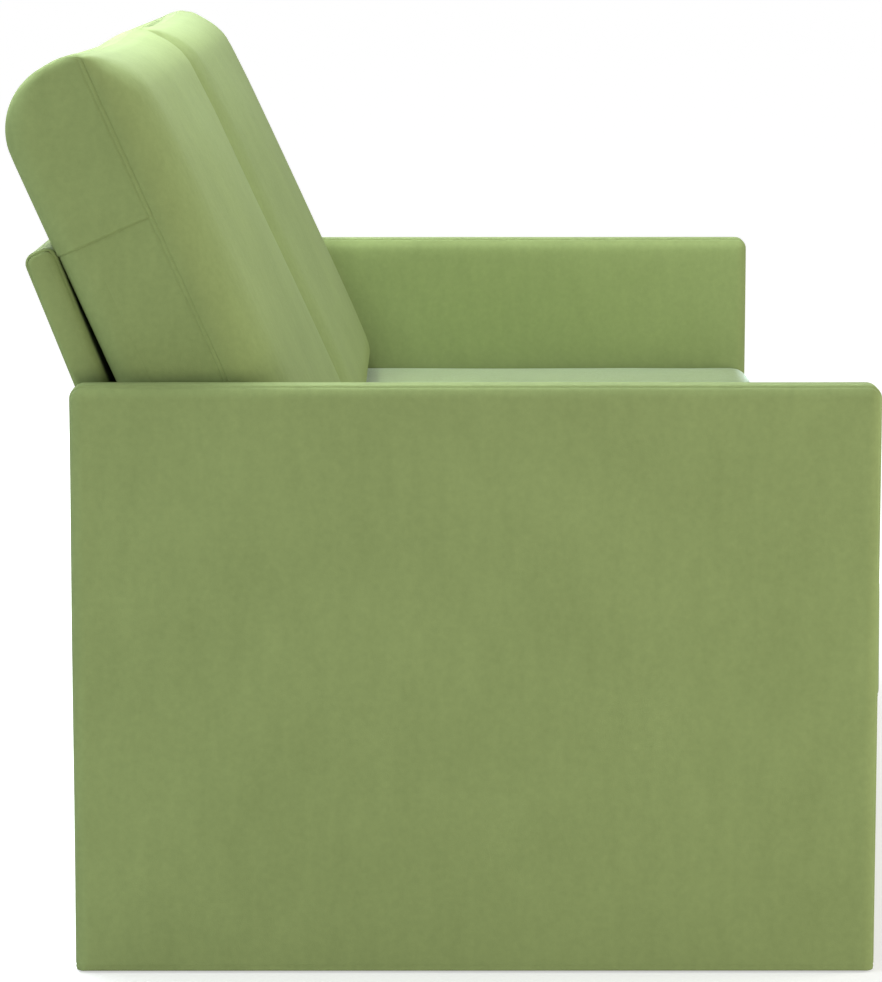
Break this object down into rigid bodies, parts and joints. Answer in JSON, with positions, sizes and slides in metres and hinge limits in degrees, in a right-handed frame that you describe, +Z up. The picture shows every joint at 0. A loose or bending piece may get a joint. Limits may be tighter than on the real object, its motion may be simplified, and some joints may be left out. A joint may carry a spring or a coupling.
{
  "type": "three-seater sofa",
  "caption": "Three-seater sofa with thin slab arms, a raked back panel, loose box seat cushions and tall loose back cushions that lift off.",
  "frame": {"origin": "on the floor, under the middle of the whole sofa's box", "axes": "+X along the sofa to the viewer's right when facing its front, +Y from front to rear, +Z up"},
  "size_m": [1.98, 0.9402, 0.978],
  "materials": {
    "velour": "matte",
    "lining_cloth": "matte",
    "zip_tape": "matte",
    "foam": "matte",
    "pine": "matte",
    "hardboard": "matte",
    "zinc_steel": "satin",
    "glide_plastic": "matte"
  },
  "bodies": {
    "sofa_frame": {"base_front_rail": "pine", "base_rear_rail": "pine", "base_side_rails": "pine", "base_middle_rail": "pine", "base_spring_rail": "pine", "base_corner_blocks": "pine", "seat_springs": "zinc_steel", "spring_clips": "zinc_steel", "front_border_padding": "foam", "back_top_rail": "pine", "back_bottom_rail": "pine", "back_end_stiles": "pine", "back_middle_stile": "pine", "back_front_board": "hardboard", "back_rear_board": "hardboard", "back_padding": "foam", "back_plate_screws": "zinc_steel", "arm_bolts": "zinc_steel", "arm_bolt_washers": "zinc_steel", "arm_insert_nuts": "zinc_steel", "base_middle_foot": "glide_plastic", "deck_cloth": "lining_cloth", "front_border_cover": "velour", "rear_border_cover": "velour", "dust_cover": "lining_cloth", "back_cover": "velour", "back_catch_plates": "zinc_steel", "back_tongue_plates": "zinc_steel", "arm_left_front_post": "pine", "arm_left_rear_post": "pine", "arm_left_top_rail": "pine", "arm_left_bolt_rail": "pine", "arm_left_bottom_rail": "pine", "arm_left_inner_board": "hardboard", "arm_left_outer_board": "hardboard", "arm_left_padding": "foam", "arm_left_cover": "velour", "arm_left_glides": "glide_plastic", "arm_right_front_post": "pine", "arm_right_rear_post": "pine", "arm_right_top_rail": "pine", "arm_right_bolt_rail": "pine", "arm_right_bottom_rail": "pine", "arm_right_inner_board": "hardboard", "arm_right_outer_board": "hardboard", "arm_right_padding": "foam", "arm_right_cover": "velour", "arm_right_glides": "glide_plastic"},
    "seat_cushion_left": {"seat_cushion_left_cover": "velour", "seat_cushion_left_zip": "zip_tape", "seat_cushion_left_filling": "foam"},
    "back_cushion_left": {"back_cushion_left_cover": "velour", "back_cushion_left_zip": "zip_tape", "back_cushion_left_filling": "foam"},
    "seat_cushion_right": {"seat_cushion_right_cover": "velour", "seat_cushion_right_zip": "zip_tape", "seat_cushion_right_filling": "foam"},
    "back_cushion_right": {"back_cushion_right_cover": "velour", "back_cushion_right_zip": "zip_tape", "back_cushion_right_filling": "foam"}
  },
  "joints": [
    {"name": "seat_cushion_left_lift", "type": "slide", "parent": "sofa_frame", "child": "seat_cushion_left", "axis": [0, 0, 1], "range_m": [0, 0.4]},
    {"name": "back_cushion_left_lift", "type": "slide", "parent": "seat_cushion_left", "child": "back_cushion_left", "axis": [0, 0, 1], "range_m": [0, 0.4]},
    {"name": "seat_cushion_right_lift", "type": "slide", "parent": "sofa_frame", "child": "seat_cushion_right", "axis": [0, 0, 1], "range_m": [0, 0.4]},
    {"name": "back_cushion_right_lift", "type": "slide", "parent": "seat_cushion_right", "child": "back_cushion_right", "axis": [0, 0, 1], "range_m": [0, 0.4]}
  ]
}
